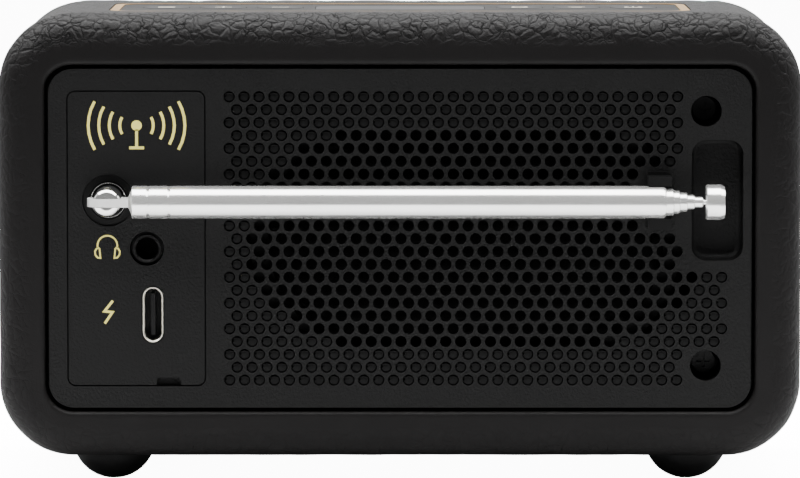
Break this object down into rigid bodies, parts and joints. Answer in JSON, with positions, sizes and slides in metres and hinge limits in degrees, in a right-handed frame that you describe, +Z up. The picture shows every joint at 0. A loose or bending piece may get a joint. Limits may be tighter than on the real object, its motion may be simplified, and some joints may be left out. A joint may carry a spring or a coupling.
{
  "type": "leather portable radio",
  "caption": "Palm-size portable radio in a black leather-covered cabinet with domed feet, a perforated recessed back, side-mounted sockets and a folding telescopic aerial in a snap clip.",
  "frame": {"origin": "on the surface the radio stands on, under the middle of its overall box", "axes": "+Z up, front (main grille) faces -Y, back (aerial and sockets) faces +Y, +X to the left seen from the back"},
  "size_m": [0.13, 0.0614, 0.0764],
  "materials": {
    "leather": "grained, semi-matt",
    "shell_plastic": "matt",
    "panel_plastic": "fine spark texture",
    "socket_plastic": "satin",
    "foot_rubber": "matt",
    "button_rubber": "matt",
    "socket_steel": "plain",
    "aerial_chrome": "satin chrome",
    "trim_brass": "satin",
    "grille_metal": "matt",
    "basket_steel": "semi-gloss",
    "magnet": "matt ferrite",
    "cone_paper": "matt",
    "coil_copper": "enamelled wire",
    "circuit_board": "solder mask",
    "display_glass": "smoked",
    "display_cell": "gloss",
    "battery_film": "shrink film",
    "screw_black": "black oxide",
    "lead_black": "insulation",
    "lead_red": "insulation"
  },
  "bodies": {
    "cabinet": {"cabinet_shell": "shell_plastic", "leather_wrap": "leather", "rear_leather_cover": "leather", "front_leather_cover": "leather", "rubber_feet": "foot_rubber", "back_panel": "panel_plastic", "rear_grille": "panel_plastic", "socket_panel": "panel_plastic", "headphone_jack": "socket_plastic", "usb_shell": "socket_steel", "usb_tongue": "socket_plastic", "socket_board": "circuit_board", "aerial_clip": "socket_plastic", "turret_collar": "socket_plastic", "turret_nut": "socket_steel", "control_bezel": "trim_brass", "control_plate": "panel_plastic", "display_window": "display_glass", "display_module": "display_cell", "key_board": "circuit_board", "key_switches": "socket_plastic", "front_trim_ring": "trim_brass", "front_grille": "grille_metal", "front_baffle": "shell_plastic", "speaker_basket": "basket_steel", "speaker_magnet": "magnet", "speaker_surround": "foot_rubber", "speaker_screws": "socket_steel", "radiator_frame": "shell_plastic", "radiator_surround": "foot_rubber", "main_board": "circuit_board", "board_pillars": "shell_plastic", "board_screws": "socket_steel", "shield_can": "socket_steel", "battery_tray": "shell_plastic", "battery_cell": "battery_film", "back_screws": "screw_black", "aerial_lead": "lead_black", "speaker_lead": "lead_red", "battery_lead": "lead_red"},
    "turret": {"aerial_turret": "aerial_chrome", "hinge_pin": "socket_steel"},
    "aerial_outer": {"aerial_base_fitting": "aerial_chrome", "aerial_tube_1": "aerial_chrome"},
    "aerial_2": {"aerial_tube_2": "aerial_chrome"},
    "aerial_3": {"aerial_tube_3": "aerial_chrome"},
    "aerial_4": {"aerial_tube_4": "aerial_chrome"},
    "aerial_5": {"aerial_tube_5": "aerial_chrome"},
    "aerial_inner": {"aerial_rod": "aerial_chrome", "aerial_tip": "aerial_chrome"},
    "cone": {"speaker_cone": "cone_paper", "dust_cap": "cone_paper", "voice_coil": "coil_copper"},
    "radiator": {"radiator_disc": "shell_plastic"},
    "button_power": {"button_power": "button_rubber"},
    "button_source": {"button_source": "button_rubber"},
    "button_preset": {"button_preset": "button_rubber"},
    "button_volume_down": {"button_volume_down": "button_rubber"},
    "button_volume_up": {"button_volume_up": "button_rubber"},
    "button_menu": {"button_menu": "button_rubber"}
  },
  "joints": [
    {"name": "aerial_swivel", "type": "hinge", "parent": "cabinet", "child": "turret", "pos_m": [0.04709, 0.02386, 0.0463], "axis": [0, 1, 0], "range_deg": [0, 180], "deforming": ["aerial_clip"]},
    {"name": "aerial_tilt", "type": "hinge", "parent": "turret", "child": "aerial_outer", "pos_m": [0.04709, 0.02786, 0.0463], "axis": [0, 0, -1], "range_deg": [0, 90], "deforming": ["aerial_clip"]},
    {"name": "aerial_second_slide", "type": "slide", "parent": "aerial_outer", "child": "aerial_2", "axis": [-1, 0, 0], "range_m": [0, 0.07]},
    {"name": "aerial_third_slide", "type": "slide", "parent": "aerial_2", "child": "aerial_3", "axis": [-1, 0, 0], "range_m": [0, 0.07]},
    {"name": "aerial_fourth_slide", "type": "slide", "parent": "aerial_3", "child": "aerial_4", "axis": [-1, 0, 0], "range_m": [0, 0.07]},
    {"name": "aerial_fifth_slide", "type": "slide", "parent": "aerial_4", "child": "aerial_5", "axis": [-1, 0, 0], "range_m": [0, 0.07]},
    {"name": "aerial_inner_slide", "type": "slide", "parent": "aerial_5", "child": "aerial_inner", "axis": [-1, 0, 0], "range_m": [0, 0.07]},
    {"name": "button_power_press", "type": "slide", "parent": "cabinet", "child": "button_power", "axis": [0, 0, -1], "range_m": [0, 0.0006], "stiffness_N_per_m": 400, "springref_m": -0.0004},
    {"name": "button_source_press", "type": "slide", "parent": "cabinet", "child": "button_source", "axis": [0, 0, -1], "range_m": [0, 0.0006], "stiffness_N_per_m": 400, "springref_m": -0.0004},
    {"name": "button_preset_press", "type": "slide", "parent": "cabinet", "child": "button_preset", "axis": [0, 0, -1], "range_m": [0, 0.0006], "stiffness_N_per_m": 400, "springref_m": -0.0004},
    {"name": "button_volume_down_press", "type": "slide", "parent": "cabinet", "child": "button_volume_down", "axis": [0, 0, -1], "range_m": [0, 0.0006], "stiffness_N_per_m": 400, "springref_m": -0.0004},
    {"name": "button_volume_up_press", "type": "slide", "parent": "cabinet", "child": "button_volume_up", "axis": [0, 0, -1], "range_m": [0, 0.0006], "stiffness_N_per_m": 400, "springref_m": -0.0004},
    {"name": "button_menu_press", "type": "slide", "parent": "cabinet", "child": "button_menu", "axis": [0, 0, -1], "range_m": [0, 0.0006], "stiffness_N_per_m": 400, "springref_m": -0.0004},
    {"name": "speaker_travel", "type": "slide", "parent": "cabinet", "child": "cone", "axis": [0, -1, 0], "range_m": [-0.0008, 0.0008], "stiffness_N_per_m": 600, "deforming": ["speaker_surround"]},
    {"name": "radiator_travel", "type": "slide", "parent": "cabinet", "child": "radiator", "axis": [0, 1, 0], "range_m": [-0.0008, 0.0008], "stiffness_N_per_m": 800, "deforming": ["radiator_surround"]}
  ]
}
